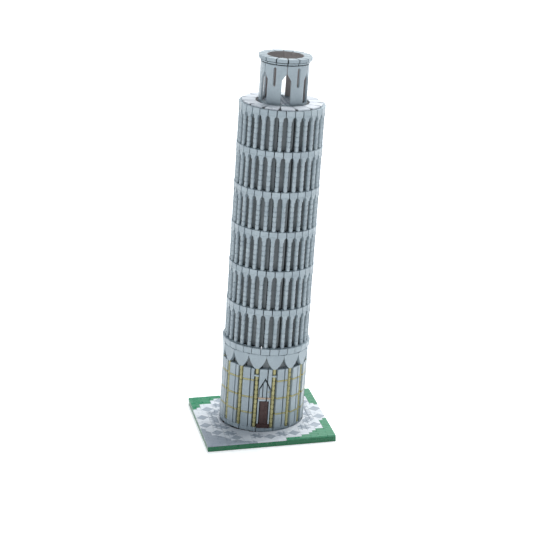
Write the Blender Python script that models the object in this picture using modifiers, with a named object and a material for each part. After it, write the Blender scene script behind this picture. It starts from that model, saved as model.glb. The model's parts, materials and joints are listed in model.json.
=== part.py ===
"""Leaning round bell tower on a square plate, built from toy-brick sub-assemblies.

Metres, +Z up. The origin is the middle of the plate's underside. Everything above the
plate hangs on one empty, tower_axis, whose +Z is the leaning axis of the tower.
Angles around the tower start at its front (-Y) and grow towards +X.
"""
import math

import bmesh
import bpy
from mathutils import Matrix, Quaternion, Vector

# Brick module
STUD = 0.008
BRICK = 0.0096
PLATE = 0.0032
GAP = 0.0003          # clearance between neighbours

# Square plate
PLATE_STUDS = 31
PLATE_SIDE = PLATE_STUDS * STUD
SLAB_HEIGHT = BRICK
PLATE_TOP = SLAB_HEIGHT + PLATE
POCKET_FLOOR = PLATE
POCKET_RADIUS = 0.0850
POCKET_SHIFT = (0.0008, 0.0)              # from the tower's foot, on the side it leans to

# Corner fields of the plate, in studs: the steps between mosaic and green, from one edge to the other
HALF_STUDS = PLATE_STUDS / 2
BACK_LEFT_STEPS = [(-15.5, 7.5), (-14.5, 7.5), (-14.5, 8.5), (-13.5, 8.5), (-13.5, 10.5), (-10.5, 10.5),
                   (-10.5, 12.5), (-9.5, 12.5), (-9.5, 13.5), (-7.5, 13.5), (-7.5, 15.5)]
BACK_RIGHT_STEPS = [(7.5, 15.5), (7.5, 13.5), (9.5, 13.5), (9.5, 12.5), (10.5, 12.5), (10.5, 10.5),
                    (13.5, 10.5), (13.5, 5.5), (14.5, 5.5), (14.5, 4.5), (15.5, 4.5)]
FRONT_RIGHT_STEPS = [(15.5, -4.5), (14.5, -4.5), (14.5, -5.5), (13.5, -5.5), (13.5, -10.5), (11.5, -10.5),
                     (11.5, -11.5), (10.5, -11.5), (10.5, -12.5), (9.5, -12.5), (9.5, -13.5), (7.5, -13.5),
                     (7.5, -14.5), (3.5, -14.5), (3.5, -15.5)]

# Lean of the tower
LEAN_ANGLE = math.radians(4.3)
LEAN_DIRECTION = math.radians(-5.0)       # from +X, towards the front
FOOT_CENTRE = (0.0015, 0.0034, PLATE_TOP - PLATE / 2)
LATTICE_TURN = -5.9                       # degrees, middle of the door bay's wall unit

# Ground storey: fifteen flat units of four studs
BAYS = 15
BAY_TURN = 360.0 / BAYS
WALL_FACE = 0.0808                        # apothem of the wall's outer face
PLINTH_TOP = 0.0080
WALL_TOP = 40 * PLATE
GROOVE_WIDTH = 0.0009
GROOVE_DEPTH = 0.0014
COLUMN_OFFSET = 1.5 * STUD                # round column, fourth stud of each unit
COLUMN_RADIUS = 0.00385
COLUMN_SIDES = 10
CORE_FACE = 0.0716
CORE_THICKNESS = 0.0040

# Door bay
DOOR_WIDTH = 2 * STUD
DOOR_MIDDLE = -0.5 * STUD                 # offset from the middle of the wall unit
SILL_TOP = PLINTH_TOP + 0.0080
SILL_PROJECTION = 0.0024
DOOR_TOP = 0.0630
LEAF_THICKNESS = 0.0032
HINGE_EDGE_STEPS = 6
RECESS_DEPTH = 0.0048
PIN_RADIUS = 0.0012
PIN_LENGTH = 0.0022
PIN_SIDES = 8
GABLE_FOOT = 0.0712
GABLE_SHOULDER = 0.0890
GABLE_APEX = 0.1105
GABLE_HALF_WIDTH = 0.0112
GABLE_MARGIN = 0.0013
GABLE_DEPTH = 0.0040

# Arch heads and blind arcade
HEAD_SEGMENTS = 3
ARCADE_FACE = 0.0818
ARCADE_BACK = 0.0745
ARCADE_TIP = 0.0100
ARCADE_APEX = 0.1533
ARCADE_BULGE = 0.0019

# First cornice
BAND_FOOT = 49 * PLATE
BAND_FACE = 0.0822
BLOCK_FOOT = 50 * PLATE
BLOCK_FACE = 0.0842
CORNICE_TOP = 53 * PLATE
CORNICE_BACK = 0.0722

# Six open galleries
GALLERIES = 6
GALLERY_HEIGHT = 8 * BRICK
ARCHES = 30
ARCH_TURN = 360.0 / ARCHES
RING_FACE = 0.0810
RING_BACK = RING_FACE - STUD
FLOOR_BACK = 0.0703
RING_FOOT = 7 * BRICK                     # underside of the course that carries the next floor
ARCH_WIDTH = 0.0088                       # clear width between columns, at the outer face
ARCH_SPRING = 0.0606
ARCH_APEX = 0.0655
INNER_FACE = 0.0683
INNER_THICKNESS = 0.0040
INNER_TURN = LATTICE_TURN + 15.0

# Deck
DECK = CORNICE_TOP + GALLERIES * GALLERY_HEIGHT
DECK_TILE_OUTER = 0.0755
DECK_TILE_INNER = 0.0505
NOTCH_TIP = 0.0620
NOTCH_MOUTH = 0.0860
NOTCH_HALF_WIDTH = 0.0016

# Belfry
BELFRY_TURN = -5.5                        # degrees, joint above the front opening
BELFRY_PANELS = 6
BELFRY_RADIUS = 0.0453
PANEL_THICKNESS = 0.0040
SILL_RING_TOP = DECK + PLATE
SILL_RING_PROUD = 0.0004
SILL_RING_SIDES = 24
PANEL_TOP = DECK + 24 * PLATE
SEAT_TOP = PANEL_TOP + 2 * PLATE
BELFRY_TOP = SEAT_TOP + 2 * PLATE
OPENING_TURN = 23.0                       # degrees, clear width of each pointed opening
OPENING_SPRING = 0.0490                   # above the deck
OPENING_APEX = 0.0620
SLOT_WIDTH = 0.0060
SLOT_FOOT = 0.0365
SLOT_TOP = 0.0725
SLOT_END_STEPS = 4
CORNICE_SEGMENTS = 14
CORNICE_RADIUS = 0.0494
SEAT_RADIUS = 0.0464
WELL_RADIUS = 0.0336

WHITE = (0.80, 0.82, 0.83, 1)
GREY_DARK = (0.14, 0.16, 0.17, 1)
TAN = (0.62, 0.55, 0.36, 1)
GREEN = (0.02, 0.22, 0.10, 1)
BROWN = (0.075, 0.026, 0.018, 1)
MOSAIC = (0.62, 0.64, 0.67, 1)


def clear_scene():
    for old in list(bpy.data.objects):
        bpy.data.objects.remove(old, do_unlink=True)


def collection(name):
    group = bpy.data.collections.new(name)
    bpy.context.scene.collection.children.link(group)
    return group


def plastic(name, colour, roughness=0.35):
    material = bpy.data.materials.new(name)
    material.use_nodes = True
    shader = material.node_tree.nodes["Principled BSDF"]
    shader.inputs["Base Color"].default_value = colour
    shader.inputs["Roughness"].default_value = roughness
    shader.inputs["Metallic"].default_value = 0.0
    return material


def add_object(name, mesh, group, parent=None, material=None, matrix=None):
    item = bpy.data.objects.new(name, mesh)
    group.objects.link(item)
    item.parent = parent
    if matrix is not None:
        item.matrix_local = matrix
    if material is not None and not mesh.materials:
        mesh.materials.append(material)
    return item


def cutter(name, mesh, parent=None, matrix=None):
    item = add_object(name, mesh, cutters, parent, None, matrix)
    item.hide_render = True
    item.display_type = "WIRE"
    return item


def cut(item, tool, operation="DIFFERENCE"):
    modifier = item.modifiers.new(tool.name, "BOOLEAN")
    modifier.object = tool
    modifier.operation = operation
    modifier.solver = "EXACT"


def baked_mesh(item, name):
    """The item's mesh with its modifiers applied, for pieces that repeat."""
    bpy.context.view_layer.update()
    depsgraph = bpy.context.evaluated_depsgraph_get()
    return name_mesh(bpy.data.meshes.new_from_object(item.evaluated_get(depsgraph)), name)


def name_mesh(mesh, name):
    mesh.name = name
    return mesh


def box_mesh(name, low, high):
    """A box between two corners."""
    bm = bmesh.new()
    bmesh.ops.create_cube(bm, size=1.0)
    size = [b - a for a, b in zip(low, high)]
    middle = [(a + b) / 2 for a, b in zip(low, high)]
    bmesh.ops.transform(bm, matrix=Matrix.Translation(middle) @ Matrix.Diagonal((*size, 1)), verts=bm.verts)
    mesh = bpy.data.meshes.new(name)
    bm.to_mesh(mesh)
    bm.free()
    return mesh


def cylinder_mesh(name, radius, low, high, sides, centre=(0.0, 0.0), turn=0.0):
    """An upright cylinder with its first edge at the given turn."""
    bm = bmesh.new()
    bmesh.ops.create_cone(bm, cap_ends=True, segments=sides, radius1=radius, radius2=radius, depth=high - low)
    place = Matrix.Translation((*centre, (low + high) / 2)) @ Matrix.Rotation(turn, 4, "Z")
    bmesh.ops.transform(bm, matrix=place, verts=bm.verts)
    mesh = bpy.data.meshes.new(name)
    bm.to_mesh(mesh)
    bm.free()
    return mesh


def outline_mesh(name, points, thickness):
    """A flat outline in X and Y, extruded to half its thickness on each side of Z = 0."""
    curve = bpy.data.curves.new(name, "CURVE")
    curve.dimensions = "2D"
    curve.fill_mode = "BOTH"
    curve.extrude = thickness / 2
    spline = curve.splines.new("POLY")
    spline.points.add(len(points) - 1)
    for point, (x, y) in zip(spline.points, points):
        point.co = (x, y, 0, 1)
    spline.use_cyclic_u = True
    guide = bpy.data.objects.new(name, curve)
    bpy.context.scene.collection.objects.link(guide)
    bpy.context.view_layer.update()
    mesh = bpy.data.meshes.new_from_object(guide.evaluated_get(bpy.context.evaluated_depsgraph_get()))
    bpy.data.objects.remove(guide)
    bm = bmesh.new()
    bm.from_mesh(mesh)
    bmesh.ops.remove_doubles(bm, verts=bm.verts, dist=0.00001)
    bmesh.ops.recalc_face_normals(bm, faces=bm.faces)
    bm.to_mesh(mesh)
    bm.free()
    mesh.name = name
    return mesh


def ring_of(name, mesh, count, turn, first):
    """Copies of one mesh around Z, joined into a single mesh for a cutter."""
    bm = bmesh.new()
    for number in range(count):
        copy = mesh.copy()
        copy.transform(Matrix.Rotation(math.radians(first + number * turn), 4, "Z"))
        bm.from_mesh(copy)
        bpy.data.meshes.remove(copy)
    joined = bpy.data.meshes.new(name)
    bm.to_mesh(joined)
    bm.free()
    return joined


def turned(name, profile, sides, first, group, parent, material, flat=True):
    """A closed (radius, height) profile turned into a ring of flat facets.

    The profile starts at its inner top corner and runs out and then down the outer side.
    With flat set, its radii are distances to the facets and not to the corners.
    """
    stretch = 1.0 / math.cos(math.pi / sides) if flat else 1.0
    start = math.radians(first - 90.0)
    bm = bmesh.new()
    verts = []
    for radius, height in profile:
        reach = radius * stretch
        verts.append(bm.verts.new((reach * math.cos(start), reach * math.sin(start), height)))
    for a, b in zip(verts, verts[1:] + verts[:1]):
        bm.edges.new((a, b))
    mesh = bpy.data.meshes.new(name)
    bm.to_mesh(mesh)
    bm.free()
    item = add_object(name, mesh, group, parent, material)
    screw = item.modifiers.new("turn", "SCREW")
    screw.axis = "Z"
    screw.angle = 2 * math.pi
    screw.steps = sides
    screw.render_steps = sides
    screw.use_merge_vertices = True
    screw.merge_threshold = 0.00001
    screw.use_smooth_shade = False
    return item


def ring_profile(inner, outer, low, high):
    return [(inner, high), (outer, high), (outer, low), (inner, low)]


def front_frame(degrees, distance=0.0):
    """Local +X runs along the wall, +Y inwards and +Z up, at a turn around the tower."""
    return Matrix.Rotation(math.radians(degrees), 4, "Z") @ Matrix.Translation((0, -distance, 0))


UPRIGHT = Matrix.Rotation(math.radians(90), 4, "X")     # an XY outline stood up to face the front


def arch_outline(half_width, low, spring, apex, segments, bulge=None):
    """A round-headed or, with bulge given, a pointed arch, from low to apex.

    A round head is half an ellipse of an odd number of segments, so its top is a short level
    piece. Each side of a pointed head is an arc whose middle stands proud of its chord by bulge.
    """
    points = [(-half_width, low)]
    if bulge is None:
        rise = (apex - spring) / math.sin(math.pi * (segments // 2) / segments)
        for step in range(segments + 1):
            angle = math.pi * (1 - step / segments)
            points.append((half_width * math.cos(angle), spring + rise * math.sin(angle)))
    else:
        chord = Vector((half_width, apex - spring))
        outward = Vector((-chord.y, chord.x)).normalized()
        side = []
        for step in range(segments + 1):
            share = step / segments
            spot = Vector((-half_width, spring)) + chord * share + outward * bulge * 4 * share * (1 - share)
            side.append((spot.x, spot.y))
        points += side + [(-x, y) for x, y in reversed(side[:-1])]
    points.append((half_width, low))
    return points


def make_slab():
    half = PLATE_SIDE / 2
    slab = add_object("base_slab", box_mesh("base_slab", (-half, -half, 0), (half, half, SLAB_HEIGHT)),
                      parts, None, green)
    centre = (FOOT_CENTRE[0] + POCKET_SHIFT[0], FOOT_CENTRE[1] + POCKET_SHIFT[1])
    pocket = cylinder_mesh("pocket", POCKET_RADIUS, POCKET_FLOOR, 2 * PLATE_TOP, ARCHES, centre)
    tool = cutter("pocket", pocket)
    cut(slab, tool)
    return tool


def field(name, points, material):
    """One flat field of tiles on the slab, from its outline in metres."""
    low = SLAB_HEIGHT + GAP
    mesh = outline_mesh(name, points, PLATE_TOP - low)
    return add_object(name, mesh, parts, None, material, Matrix.Translation((0, 0, (low + PLATE_TOP) / 2)))


def make_fields(pocket):
    steps = [(-HALF_STUDS, -HALF_STUDS)] + BACK_LEFT_STEPS + BACK_RIGHT_STEPS + FRONT_RIGHT_STEPS
    mosaic = field("base_mosaic", [(x * STUD, y * STUD) for x, y in steps], pale)
    cut(mosaic, pocket)
    corners = {"corner_back_left": (BACK_LEFT_STEPS, -1, 1), "corner_back_right": (BACK_RIGHT_STEPS, 1, 1),
               "corner_front_right": (FRONT_RIGHT_STEPS, 1, -1)}
    for name, (points, side_x, side_y) in corners.items():
        edge = PLATE_SIDE / 2
        outline = [(side_x * edge, side_y * edge)]
        for x, y in points:
            # every step backs off from the mosaic, but not past the plate's own edge
            away_x = min(abs(x) * STUD + GAP, edge)
            away_y = min(abs(y) * STUD + GAP, edge)
            outline.append((side_x * away_x, side_y * away_y))
        field(name, outline, green)


def make_foot():
    """The block that gives the lean: level underside in the pocket, leaning top."""
    low = POCKET_FLOOR + GAP
    radius = WALL_FACE / math.cos(math.pi / BAYS)
    first = math.radians(LATTICE_TURN + BAY_TURN / 2 - 90)
    foot = cylinder_mesh("foot_block", radius, low, 4 * PLATE_TOP, BAYS, FOOT_CENTRE[:2], first)
    block = add_object("foot_block", foot, parts, None, white)
    reach = 2 * radius
    top = box_mesh("foot_top", (-reach, -reach, PLINTH_TOP), (reach, reach, PLINTH_TOP + reach))
    cut(block, cutter("foot_top", top, axis))


def make_core():
    profile = ring_profile(CORE_FACE - CORE_THICKNESS, CORE_FACE, PLINTH_TOP + GAP, BAND_FOOT - GAP)
    turned("ground_core", profile, BAYS, LATTICE_TURN + BAY_TURN / 2, parts, axis, dark)


def bay_turn(number):
    return LATTICE_TURN + number * BAY_TURN


def make_wall_bays():
    """Fourteen wall units: a two-stud panel, a groove and a one-stud strip in one extruded outline."""
    left, right = -2 * STUD, STUD - GAP / 2
    back = STUD
    points = [(left, 0), (-GROOVE_WIDTH / 2, 0), (-GROOVE_WIDTH / 2, GROOVE_DEPTH),
              (GROOVE_WIDTH / 2, GROOVE_DEPTH), (GROOVE_WIDTH / 2, 0),
              (right, 0), (right, back), (left, back)]
    low, high = PLINTH_TOP + GAP, WALL_TOP - GAP
    mesh = outline_mesh("wall_bay", points, high - low)
    mesh.materials.append(white)
    for number in range(1, BAYS):
        place = front_frame(bay_turn(number), WALL_FACE) @ Matrix.Translation((0, 0, (low + high) / 2))
        add_object(f"wall_bay_{number:02d}", mesh, parts, axis, None, place)


def make_columns():
    """One tan column of round bricks at the right-hand end of every unit."""
    mesh = cylinder_mesh("column", COLUMN_RADIUS, PLINTH_TOP + GAP, WALL_TOP - GAP, COLUMN_SIDES)
    mesh.materials.append(tan)
    for number in range(BAYS):
        frame = front_frame(bay_turn(number), WALL_FACE - STUD / 2)
        place = frame @ Matrix.Translation((COLUMN_OFFSET, 0, 0))
        add_object(f"tan_column_{number:02d}", mesh, parts, axis, None, place)


def make_door_bay():
    place = front_frame(bay_turn(0), WALL_FACE)
    left, right = -2 * STUD, STUD - GAP / 2
    door_left = DOOR_MIDDLE - DOOR_WIDTH / 2
    door_right = DOOR_MIDDLE + DOOR_WIDTH / 2

    body = box_mesh("door_surround", (left, 0, SILL_TOP + GAP), (right, STUD, WALL_TOP - GAP))
    surround = add_object("door_surround", body, parts, axis, white, place)
    recess = box_mesh("door_recess", (door_left, -STUD, 0), (door_right, RECESS_DEPTH, DOOR_TOP))
    cut(surround, cutter("door_recess", recess, axis, place))

    # the pin turns in a hole above and below the leaf
    pin_x = door_left + GAP + LEAF_THICKNESS / 2
    pin_y = GAP + LEAF_THICKNESS / 2
    hole_low, hole_high = SILL_TOP - PIN_LENGTH - GAP, DOOR_TOP + PIN_LENGTH + GAP
    hole = cylinder_mesh("pin_hole", PIN_RADIUS + GAP, hole_low, hole_high, PIN_SIDES, (pin_x, pin_y))
    hole_tool = cutter("pin_hole", hole, axis, place)
    cut(surround, hole_tool)

    sill_box = box_mesh("door_sill", (left, -SILL_PROJECTION, PLINTH_TOP + GAP), (right, STUD, SILL_TOP))
    sill = add_object("door_sill", sill_box, parts, axis, brown, place)
    cut(sill, hole_tool)

    # leaf: its hinge edge is a half round about the pin
    radius = LEAF_THICKNESS / 2
    width = DOOR_WIDTH - 2 * GAP
    turns = [math.pi * (0.5 + step / HINGE_EDGE_STEPS) for step in range(HINGE_EDGE_STEPS + 1)]
    edge = [(radius * math.cos(a), radius * math.sin(a)) for a in turns]
    outline = edge + [(width - radius, -radius), (width - radius, radius)]
    low, high = SILL_TOP + GAP, DOOR_TOP - GAP
    leaf_mesh = outline_mesh("door_leaf", outline, high - low)
    leaf_place = place @ Matrix.Translation((pin_x, pin_y, (low + high) / 2))
    leaf = add_object("door_leaf", leaf_mesh, parts, axis, brown, leaf_place)
    half = (high - low) / 2
    for end, start in (("top", half - PIN_LENGTH), ("foot", -half - PIN_LENGTH)):
        pin = cylinder_mesh(f"pin_{end}", PIN_RADIUS, start, start + 2 * PIN_LENGTH, PIN_SIDES)
        cut(leaf, cutter(f"pin_{end}", pin, axis, leaf_place), "UNION")

    make_gable(surround, place)


def gable_outline(half_width, foot, shoulder, apex):
    return [(-half_width, foot), (half_width, foot), (half_width, shoulder), (0, apex),
            (-half_width, shoulder)]


def make_gable(surround, place):
    """A steep gable piece let into the wall above the door, with two slits in it."""
    middle = Matrix.Translation((DOOR_MIDDLE, 0, 0))
    outer = gable_outline(GABLE_HALF_WIDTH, GABLE_FOOT, GABLE_SHOULDER, GABLE_APEX)
    opening = outline_mesh("gable_recess", outer, 2 * GABLE_DEPTH)
    cut(surround, cutter("gable_recess", opening, axis, place @ middle @ UPRIGHT))
    inner = gable_outline(GABLE_HALF_WIDTH - GABLE_MARGIN, GABLE_FOOT + GAP,
                          GABLE_SHOULDER - GABLE_MARGIN / 2, GABLE_APEX - 2 * GABLE_MARGIN)
    thickness = GABLE_DEPTH - 2 * GAP
    gable_mesh = outline_mesh("door_gable", inner, thickness)
    sink = Matrix.Translation((0, GAP + thickness / 2, 0))
    gable = add_object("door_gable", gable_mesh, parts, axis, white, place @ middle @ sink @ UPRIGHT)
    for side, way in (("left", -1), ("right", 1)):
        slit_x = DOOR_MIDDLE + way * STUD / 2
        slit_foot = GABLE_SHOULDER - GABLE_MARGIN * 2
        slit = box_mesh(f"gable_slit_{side}", (slit_x - GROOVE_WIDTH / 2, -STUD, slit_foot),
                        (slit_x + GROOVE_WIDTH / 2, 2 * GROOVE_DEPTH, GABLE_SHOULDER + BRICK))
        cut(gable, cutter(f"gable_slit_{side}", slit, axis, place))


def make_arcade():
    """Fifteen spearheads hanging from one band: a ring with pointed openings between them."""
    middle = LATTICE_TURN + math.degrees(math.atan(COLUMN_OFFSET / WALL_FACE))
    ring = turned("arcade_spandrels", ring_profile(ARCADE_BACK, ARCADE_FACE, WALL_TOP, BAND_FOOT - GAP),
                  BAYS, middle + BAY_TURN / 2, parts, axis, white)
    side = 2 * ARCADE_FACE * math.tan(math.pi / BAYS)
    half = (side - ARCADE_TIP) / 2
    outline = arch_outline(half, WALL_TOP - STUD, WALL_TOP, ARCADE_APEX, HEAD_SEGMENTS, bulge=ARCADE_BULGE)
    opening = outline_mesh("arcade_opening", outline, 3 * STUD)
    opening.transform(Matrix.Translation((0, -ARCADE_FACE, 0)) @ UPRIGHT)
    openings = ring_of("arcade_openings", opening, BAYS, BAY_TURN, middle + BAY_TURN / 2)
    cut(ring, cutter("arcade_openings", openings, axis))


def make_cornice():
    profile = [(CORNICE_BACK, CORNICE_TOP), (BLOCK_FACE, CORNICE_TOP), (BLOCK_FACE, BLOCK_FOOT),
               (BAND_FACE, BLOCK_FOOT), (BAND_FACE, BAND_FOOT), (CORNICE_BACK, BAND_FOOT)]
    turned("cornice_ring", profile, ARCHES, LATTICE_TURN, parts, axis, white)


def make_galleries():
    """Each gallery is one ring of thirty columns under an arched course that carries the next floor."""
    profile = [(FLOOR_BACK, GALLERY_HEIGHT), (RING_FACE, GALLERY_HEIGHT), (RING_FACE, GAP), (RING_BACK, GAP),
               (RING_BACK, RING_FOOT), (FLOOR_BACK, RING_FOOT)]
    model = turned("gallery_model", profile, ARCHES, LATTICE_TURN, cutters, None, white)
    outline = arch_outline(ARCH_WIDTH / 2, -STUD, ARCH_SPRING, ARCH_APEX, HEAD_SEGMENTS)
    opening = outline_mesh("gallery_opening", outline, 3 * STUD)
    opening.transform(Matrix.Translation((0, -RING_FACE, 0)) @ UPRIGHT)
    openings = ring_of("gallery_openings", opening, ARCHES, ARCH_TURN, LATTICE_TURN)
    tool = cutter("gallery_openings", openings)
    cut(model, tool)
    mesh = baked_mesh(model, "gallery")
    bpy.data.objects.remove(model)
    bpy.data.objects.remove(tool)
    for number in range(GALLERIES):
        place = Matrix.Translation((0, 0, CORNICE_TOP + number * GALLERY_HEIGHT))
        add_object(f"gallery_{number + 1}", mesh, parts, axis, None, place)


def make_inner_wall():
    low, high = CORNICE_TOP + GAP, DECK - PLATE - GAP
    turned("inner_wall", ring_profile(INNER_FACE - INNER_THICKNESS, INNER_FACE, low, high),
           BAYS, INNER_TURN, parts, axis, dark)


def make_deck():
    disc = cylinder_mesh("deck_disc", FLOOR_BACK - GAP, DECK - PLATE, DECK, ARCHES, (0, 0),
                         math.radians(LATTICE_TURN - 90))
    add_object("deck_disc", disc, parts, axis, dark)
    low, high = DECK + GAP, DECK + PLATE
    tiles = turned("deck_tiles", ring_profile(DECK_TILE_INNER, DECK_TILE_OUTER, low, high),
                   BAYS, INNER_TURN, parts, axis, pale, flat=False)
    notch = [(-NOTCH_HALF_WIDTH, -NOTCH_MOUTH), (NOTCH_HALF_WIDTH, -NOTCH_MOUTH), (0, -NOTCH_TIP)]
    wedge = outline_mesh("deck_notch", notch, 2 * BRICK)
    wedge.transform(Matrix.Translation((0, 0, DECK)))
    notches = ring_of("deck_notches", wedge, BAYS, BAY_TURN, INNER_TURN)
    cut(tiles, cutter("deck_notches", notches, axis))


def make_belfry():
    inner = BELFRY_RADIUS - PANEL_THICKNESS
    outer = BELFRY_RADIUS + SILL_RING_PROUD
    turned("belfry_sill", ring_profile(inner - GAP, outer, DECK + GAP, SILL_RING_TOP),
           SILL_RING_SIDES, BELFRY_TURN, parts, axis, white)
    make_belfry_panels()
    foot = PANEL_TOP + GAP
    profile = [(WELL_RADIUS, BELFRY_TOP), (CORNICE_RADIUS, BELFRY_TOP), (CORNICE_RADIUS, SEAT_TOP),
               (SEAT_RADIUS, SEAT_TOP), (SEAT_RADIUS, foot), (WELL_RADIUS, foot)]
    turned("belfry_cornice", profile, CORNICE_SEGMENTS, BELFRY_TURN, parts, axis, white)


def make_belfry_panels():
    """Six curved T-shaped panels: a wide head, a narrower pier and a round-ended slot."""
    turn = 360.0 / BELFRY_PANELS
    low, high = SILL_RING_TOP + GAP, PANEL_TOP
    inner = BELFRY_RADIUS - PANEL_THICKNESS
    model = turned("belfry_panel_model", ring_profile(inner, BELFRY_RADIUS, low, high), 6 * BELFRY_PANELS, 0,
                   cutters, None, white)
    reach = 2 * BELFRY_RADIUS
    wedge = [(0, -GAP)] + [(side * reach * math.sin(math.radians(turn / 2)),
                            -GAP - reach * math.cos(math.radians(turn / 2))) for side in (-1, 1)]
    sector = outline_mesh("belfry_sector", wedge, 2 * (high - low))
    sector.transform(Matrix.Translation((0, 0, (low + high) / 2)))
    sector_tool = cutter("belfry_sector", sector)
    cut(model, sector_tool, "INTERSECT")
    half = BELFRY_RADIUS * math.sin(math.radians(OPENING_TURN / 2))
    outline = arch_outline(half, -STUD, OPENING_SPRING, OPENING_APEX, 1, bulge=0.0)
    tools = [sector_tool]
    for side, way in (("left", -1), ("right", 1)):
        opening = outline_mesh(f"belfry_opening_{side}", outline, 3 * STUD)
        opening.transform(Matrix.Rotation(math.radians(way * turn / 2), 4, "Z")
                          @ Matrix.Translation((0, -BELFRY_RADIUS, DECK)) @ UPRIGHT)
        tools.append(cutter(f"belfry_opening_{side}", opening))
    radius = SLOT_WIDTH / 2
    ends = [(radius * math.cos(a), SLOT_TOP - radius + radius * math.sin(a))
            for a in (math.pi * step / SLOT_END_STEPS for step in range(SLOT_END_STEPS + 1))]
    ends += [(radius * math.cos(a), SLOT_FOOT + radius + radius * math.sin(a))
             for a in (math.pi + math.pi * step / SLOT_END_STEPS for step in range(SLOT_END_STEPS + 1))]
    slot = outline_mesh("belfry_slot", ends, 3 * STUD)
    slot.transform(Matrix.Translation((0, -BELFRY_RADIUS, DECK)) @ UPRIGHT)
    tools.append(cutter("belfry_slot", slot))
    for tool in tools[1:]:
        cut(model, tool)
    panel = baked_mesh(model, "belfry_panel_mesh")
    for tool in [model] + tools:
        bpy.data.objects.remove(tool)
    for number in range(BELFRY_PANELS):
        place = Matrix.Rotation(math.radians(BELFRY_TURN + turn * (number + 0.5)), 4, "Z")
        add_object(f"belfry_panel_{number + 1}", panel, parts, axis, None, place)


clear_scene()
parts = collection("leaning_tower_model")
cutters = collection("cutters")
white = plastic("white_brick", WHITE)
pale = plastic("pale_tile", MOSAIC)
dark = plastic("dark_grey_brick", GREY_DARK)
tan = plastic("tan_brick", TAN)
green = plastic("green_brick", GREEN)
brown = plastic("brown_brick", BROWN)

axis = bpy.data.objects.new("tower_axis", None)
parts.objects.link(axis)
tilt_about = Vector((-math.sin(LEAN_DIRECTION), math.cos(LEAN_DIRECTION), 0))
axis.matrix_world = Matrix.Translation(FOOT_CENTRE) @ Quaternion(tilt_about, LEAN_ANGLE).to_matrix().to_4x4()
bpy.context.view_layer.update()

make_fields(make_slab())
make_foot()
make_core()
make_wall_bays()
make_columns()
make_door_bay()
make_arcade()
make_cornice()
make_galleries()
make_inner_wall()
make_deck()
make_belfry()
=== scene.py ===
# Leaning bell tower of toy bricks: every brick's own surface, the plastics, the light and the camera,
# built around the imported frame. Metres, +Z up. Run it with Blender 4.5.
import json
import math

import bpy
import numpy as np
from mathutils import Matrix, Vector
from mathutils.bvhtree import BVHTree


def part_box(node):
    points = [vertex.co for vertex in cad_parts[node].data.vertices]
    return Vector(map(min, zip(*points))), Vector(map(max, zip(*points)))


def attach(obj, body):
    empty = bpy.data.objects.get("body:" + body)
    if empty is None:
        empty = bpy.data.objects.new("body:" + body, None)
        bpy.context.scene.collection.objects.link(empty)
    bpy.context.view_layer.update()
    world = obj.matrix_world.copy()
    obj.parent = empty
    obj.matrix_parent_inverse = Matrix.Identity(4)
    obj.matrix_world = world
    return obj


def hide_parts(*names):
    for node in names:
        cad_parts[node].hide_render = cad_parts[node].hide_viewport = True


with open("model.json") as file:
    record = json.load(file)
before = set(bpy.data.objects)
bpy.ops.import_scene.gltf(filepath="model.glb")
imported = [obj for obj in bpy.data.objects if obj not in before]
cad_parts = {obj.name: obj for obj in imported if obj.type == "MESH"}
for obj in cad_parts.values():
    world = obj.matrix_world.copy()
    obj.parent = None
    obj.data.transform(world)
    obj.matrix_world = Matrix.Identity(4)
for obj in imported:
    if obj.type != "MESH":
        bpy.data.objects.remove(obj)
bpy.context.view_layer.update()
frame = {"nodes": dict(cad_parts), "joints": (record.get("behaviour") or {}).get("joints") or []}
dice = np.random.default_rng(1173)

# Brick module; a joint is the hairline between two bricks, an edge the rounding on a brick's corners
module = {"stud": 0.008, "brick": 0.0096, "plate": 0.0032, "joint": 0.00015, "edge": 0.00035}
stud, brick, plate = module["stud"], module["brick"], module["plate"]


# Shader maths
class Signal:
    # One node output; arithmetic on it adds Math nodes
    def __init__(self, finish, socket):
        self.finish = finish
        self.socket = socket

    def math(self, operation, other):
        return self.finish.node("ShaderNodeMath", {"operation": operation}, {0: self, 1: other})

    def __add__(self, other):
        return self.math("ADD", other)

    def __mul__(self, other):
        return self.math("MULTIPLY", other)


class Finish:
    # One material around its Principled shader
    def __init__(self, name, constants):
        self.material = bpy.data.materials.new(name)
        self.material.use_nodes = True
        self.tree = self.material.node_tree
        self.shader = self.tree.nodes["Principled BSDF"]
        for socket, value in constants.items():
            self.shader.inputs[socket].default_value = value

    def feed(self, socket, value):
        if isinstance(value, Signal):
            self.tree.links.new(value.socket, socket)
        else:
            socket.default_value = value

    def node(self, kind, settings=None, inputs=None, output=0):
        # Any other node: its type, its settings first, then its inputs
        made = self.tree.nodes.new(kind)
        for name, value in (settings or {}).items():
            setattr(made, name, value)
        for name, value in (inputs or {}).items():
            self.feed(made.inputs[name], value)
        return Signal(self, made.outputs[output])

    def noise(self, scale, detail=2.0, roughness=0.5, where=None):
        where = where or self.node("ShaderNodeTexCoord", output=3)
        return self.node("ShaderNodeTexNoise", {"noise_dimensions": "3D"},
                         {"Vector": where, "Scale": scale, "Detail": detail, "Roughness": roughness})

    def spread(self, signal, low, high):
        # low..high stretched to 0..1 and held there
        return self.node("ShaderNodeMapRange", {"clamp": True}, {0: signal, 1: low, 2: high})

    def mixed(self, first, second, share):
        return self.node("ShaderNodeMix", {"data_type": "RGBA"}, {0: share, 6: first, 7: second}, output=2)


def srgb(red, green, blue):
    # A colour as seen on screen, 0..255, in linear light
    seen = np.array([red, green, blue]) / 255
    linear = np.where(seen <= 0.04045, seen / 12.92, ((seen + 0.055) / 1.055) ** 2.4)
    return (*linear.tolist(), 1.0)


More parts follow.
